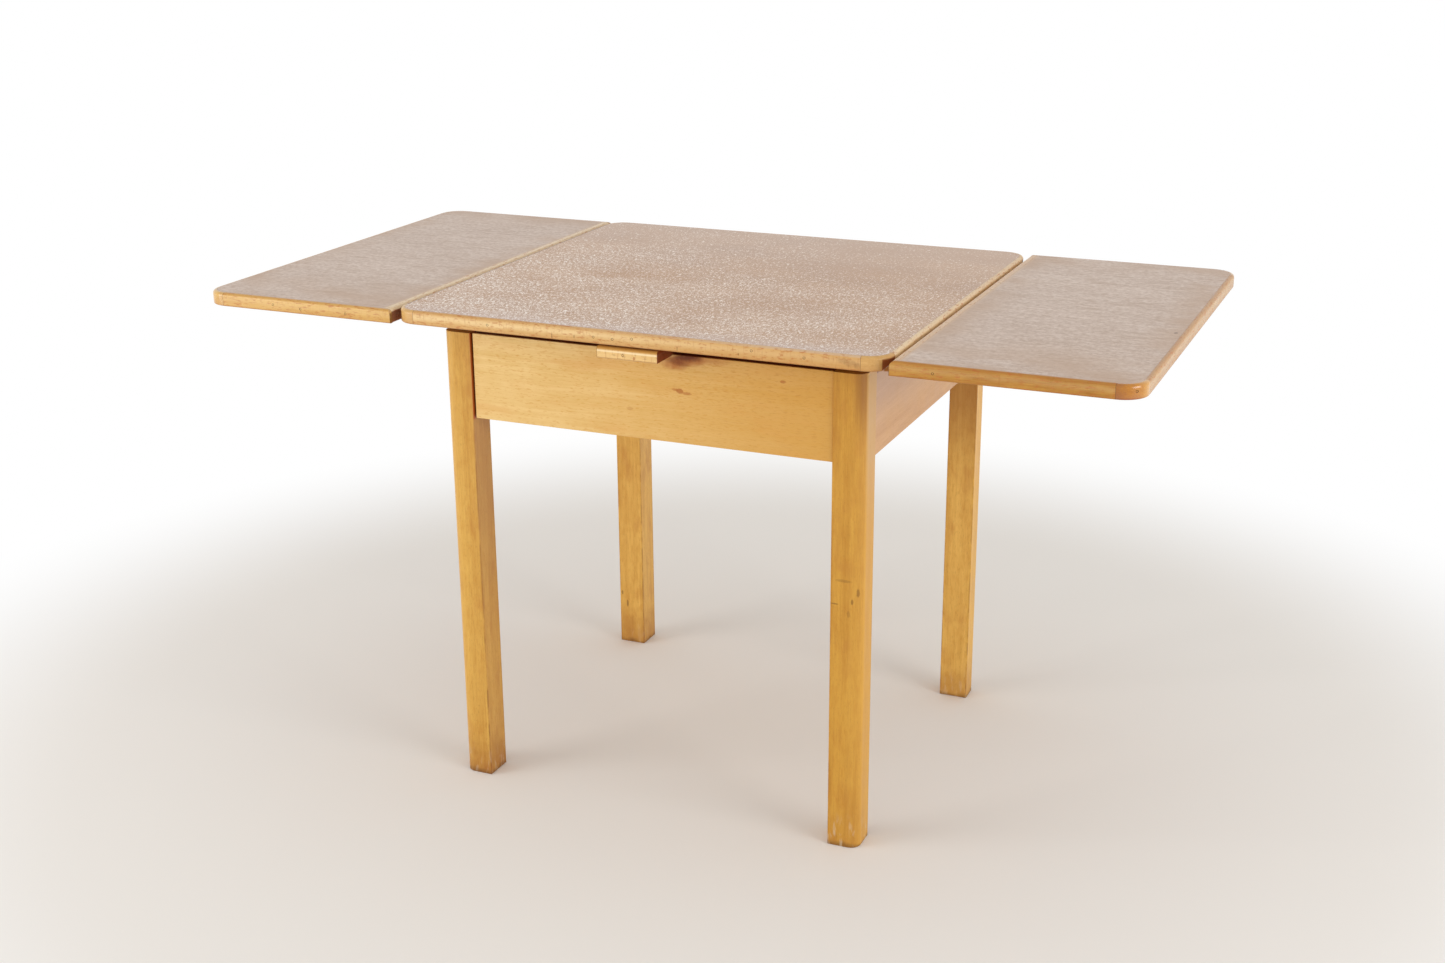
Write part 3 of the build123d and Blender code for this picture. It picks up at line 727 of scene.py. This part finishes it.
dress(
    lipping, "top_lipping_right", *BISQUE, grain="y", apart=1.4, rubbed=0.2, soiled=0.0, shaded=0.5
)
dress(corner_block, "top_corner_pieces", *BUFF, apart=0.2, shaded=0.9, coat=0.15)
dress(lipping, "leaf_left_lipping_front", *MAIZE, grain="x", apart=0.4, rubbed=0.2)
dress(lipping, "leaf_left_lipping_back", *GOLD, grain="x", apart=1.2)
dress(lipping, "leaf_left_lipping_outer", *PALE, grain="y", apart=0.8)
dress(
    lipping, "leaf_left_lipping_nose", *BISQUE, grain="y", apart=1.6, rubbed=0.0, soiled=0.0,
    shaded=0.85, shade_from=0.0035,
)
dress(corner_block, "leaf_left_corner_pieces", *MAIZE, apart=0.6)
dress(lipping, "leaf_right_lipping_front", *GOLD, grain="x", apart=0.7, rubbed=0.15, specked=0.45)
dress(lipping, "leaf_right_lipping_back", *GOLD, grain="x", apart=1.5)
dress(lipping, "leaf_right_lipping_outer", *SAND, grain="y", apart=0.1, rubbed=0.1)
dress(
    lipping, "leaf_right_lipping_nose", *BLUSH, grain="y", apart=1.8, rubbed=0.0, soiled=0.0,
    worn=0.95,
)
dress(
    corner_block, "leaf_right_corner_pieces", *RUSSET, apart=1.0, browner=0.75, coat=1.0, aged=0.5,
    gloss=0.14,
)
dress(top_sheet, "top_laminate")
dress(core_board, "top_core")
dress(plywood, "drawer_bottom")
for side in ("left", "right"):
    dress(leaf_sheet, f"leaf_{side}_laminate")
    dress(core_board, f"leaf_{side}_core")
    dress(bare_beech, f"leaf_{side}_loper_front", grain="x", apart=0.2)
    dress(bare_beech, f"leaf_{side}_loper_back", grain="x", apart=0.5)
    dress(bare_beech, f"leaf_{side}_stop_pegs", grain="y", apart=0.8)
    dress(bare_beech, f"drawer_runner_{side}", grain="y", apart=1.1)
    dress(bare_beech, f"drawer_side_{side}", grain="y", apart=1.4)
dress(bare_beech, "centre_board", grain="y", apart=0.3)
dress(bare_beech, "top_guide_pegs", grain="z", apart=0.6)
dress(bare_beech, "rail_front_upper", grain="x", apart=0.9)
dress(bare_beech, "rail_front_lower", grain="x", apart=1.2)
dress(bare_beech, "drawer_back", grain="x", apart=1.5)

# What is left are the screws
steel = screw_steel("screw_steel_finish")
for name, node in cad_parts.items():
    node.material_slots[0].material = finishes.get(name, steel)


# Pins that hold the lippings

PIN_SIDES = 16
PIN_RADIUS = 0.0018
PIN_LENGTH = 0.012
PIN_PROUD = 0.00008
PIN_RIM = 0.0004
PIN_DISH = 0.0005
PIN_POINT = 0.3             # width of the point, as a share of the head

FRONT = (0, -1, 0)
BACK = (0, 1, 0)
CORNER = (0.692, -0.722, 0)

TOP_FRONT_PINS = (
    (-0.215, 0.7405), (-0.049, 0.739), (-0.020, 0.7386),
    (0.0095, 0.7418), (0.1847, 0.7426), (0.2591, 0.7403),
)
TOP_BACK_PINS = ((-0.27, 0.740), (-0.09, 0.740), (0.09, 0.740), (0.27, 0.740))
LEAF_RIGHT_PINS = ((0.4336, 0.737),)
LEAF_LEFT_PINS = ((-0.451, 0.7355), (-0.529, 0.7355), (-0.577, 0.738))
CORNER_PIN = (0.6912, -0.3463, 0.7388)
PULL_PINS = ((-0.0105, 0.7143),)


def choose_faces(piece, wanted):
    """Selects the faces that a test picks and leaves the piece in edit mode."""
    bpy.ops.object.mode_set(mode="EDIT")
    bpy.ops.mesh.select_mode(type="FACE")
    bpy.ops.mesh.select_all(action="DESELECT")
    bpy.ops.object.mode_set(mode="OBJECT")
    for face in piece.data.polygons:
        face.select = wanted(face)
    bpy.ops.object.mode_set(mode="EDIT")


def make_pin():
    """A lipping pin that points along +Z from below, its head dished by the punch."""
    bpy.ops.object.select_all(action="DESELECT")
    middle = PIN_PROUD - PIN_LENGTH / 2
    bpy.ops.mesh.primitive_cylinder_add(
        vertices=PIN_SIDES, radius=PIN_RADIUS, depth=PIN_LENGTH, location=(0, 0, middle)
    )
    pin = bpy.context.object
    bpy.ops.object.transform_apply(location=True)
    choose_faces(pin, lambda face: face.normal.z > 0.9)
    bpy.ops.mesh.inset(thickness=PIN_RIM)
    bpy.ops.mesh.inset(thickness=PIN_RIM)
    bpy.ops.transform.translate(value=(0, 0, -PIN_DISH))
    bpy.ops.object.mode_set(mode="OBJECT")
    choose_faces(pin, lambda face: face.normal.z < -0.9)
    bpy.ops.transform.resize(value=(PIN_POINT, PIN_POINT, 1.0))
    bpy.ops.object.mode_set(mode="OBJECT")
    return pin


def pin_lippings(name, body, master, places, outward):
    """Copies the pin to its places on one face of a body's lippings, as one piece."""
    turn = Vector((0, 0, 1)).rotation_difference(Vector(outward)).to_matrix().to_4x4()
    bpy.ops.object.select_all(action="DESELECT")
    copies = []
    for place in places:
        copy = master.copy()
        copy.data = master.data.copy()
        bpy.context.collection.objects.link(copy)
        copy.matrix_world = Matrix.Translation(place) @ turn
        copy.select_set(True)
        copies.append(copy)
    bpy.context.view_layer.objects.active = copies[0]
    bpy.ops.object.transform_apply(location=True, rotation=True, scale=True)
    bpy.ops.object.join()
    piece = bpy.context.object
    piece.name = name
    piece.data.materials.append(iron)
    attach(piece, body)


def on_face(pins, y):
    """Pins given by X and Z, as places on an upright face."""
    return [(x, y, z) for x, z in pins]


iron = pin_iron("pin_iron")
pin = make_pin()
front_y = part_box("top_lipping_front")[0].y
back_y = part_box("top_lipping_back")[1].y
pull_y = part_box("drawer_pull")[0].y
pin_lippings("top_front_pins", "top", pin, on_face(TOP_FRONT_PINS, front_y), FRONT)
pin_lippings("top_back_pins", "top", pin, on_face(TOP_BACK_PINS, back_y), BACK)
pin_lippings("leaf_right_front_pins", "leaf_right", pin, on_face(LEAF_RIGHT_PINS, front_y), FRONT)
pin_lippings("leaf_left_front_pins", "leaf_left", pin, on_face(LEAF_LEFT_PINS, front_y), FRONT)
pin_lippings("leaf_right_corner_pin", "leaf_right", pin, [CORNER_PIN], CORNER)
pin_lippings("pull_pin", "drawer", pin, on_face(PULL_PINS, pull_y), FRONT)
bpy.data.objects.remove(pin)


# Studio: a pale floor that turns white farther out, in a white room with two softboxes

FLOOR_SIDES = 96
FLOOR_RADIUS = 14.0
FLOOR_PLAIN = 1.0
FLOOR_WHITE = 1.7
FLOOR_COLOUR = tone(241, 237, 231)
AMBIENT = 0.74

LAMP_AIM = Vector((0, 0, 0.55))
LAMP_SIZE = 2.0
KEY_PLACE = (-3.0, -2.6, 1.0)
KEY_POWER = 61
FILL_PLACE = (3.8, -1.2, 1.1)
FILL_POWER = 62

bpy.ops.object.select_all(action="DESELECT")
bpy.ops.mesh.primitive_circle_add(vertices=FLOOR_SIDES, radius=FLOOR_RADIUS, fill_type="NGON")
floor = bpy.context.object
floor.name = "studio_floor"
ground = Finish("studio_floor_finish")
length = {"operation": "LENGTH"}
distance = ground.node("ShaderNodeVectorMath", length, {0: ground.coordinates}, "Value")
matt = ground.node("ShaderNodeBsdfDiffuse", {}, {"Color": FLOOR_COLOUR})
white = ground.node("ShaderNodeEmission", {}, {"Color": WHITE, "Strength": 1.0})
fade = ground.step(distance, FLOOR_PLAIN, FLOOR_WHITE) * ground.seen()
blend = ground.node("ShaderNodeMixShader", {}, {0: fade, 1: matt, 2: white})
ground.node("ShaderNodeOutputMaterial", {}, {"Surface": blend})
floor.data.materials.append(ground.material)

world = bpy.data.worlds.new("studio")
world.use_nodes = True
bpy.context.scene.world = world
room = Tree(world.node_tree)
strength = AMBIENT + (1 - AMBIENT) * room.seen()
light = room.node("ShaderNodeBackground", {}, {"Color": WHITE, "Strength": strength})
room.node("ShaderNodeOutputWorld", {}, {"Surface": light})


def softbox(name, place, power):
    """A square softbox that faces the table."""
    bpy.ops.object.light_add(type="AREA", location=place)
    lamp = bpy.context.object
    lamp.name = name
    lamp.data.shape = "SQUARE"
    lamp.data.size = LAMP_SIZE
    lamp.data.energy = power
    lamp.rotation_euler = (LAMP_AIM - Vector(place)).to_track_quat("-Z", "Y").to_euler()


softbox("key_light", KEY_PLACE, KEY_POWER)
softbox("fill_light", FILL_PLACE, FILL_POWER)


# Camera

PHOTO_WIDTH = 1445
FOCAL_PIXELS = 1887.6
CAMERA_PLACE = Vector((1.10835, -2.58502, 1.37674))
CAMERA_YAW = 0.409063
CAMERA_PITCH = 0.326030
CAMERA_ROLL = -0.006853

camera = bpy.data.objects.new("camera", bpy.data.cameras.new("camera"))
bpy.context.collection.objects.link(camera)
camera.data.sensor_fit = "HORIZONTAL"
camera.data.lens = FOCAL_PIXELS / PHOTO_WIDTH * camera.data.sensor_width
turned = Matrix.Rotation(CAMERA_YAW, 4, "Z") @ Matrix.Rotation(math.pi / 2 - CAMERA_PITCH, 4, "X")
rolled = Matrix.Rotation(CAMERA_ROLL, 4, "Z")
camera.matrix_world = Matrix.Translation(CAMERA_PLACE) @ turned @ rolled
bpy.context.scene.camera = camera
bpy.context.scene.view_settings.view_transform = "Standard"
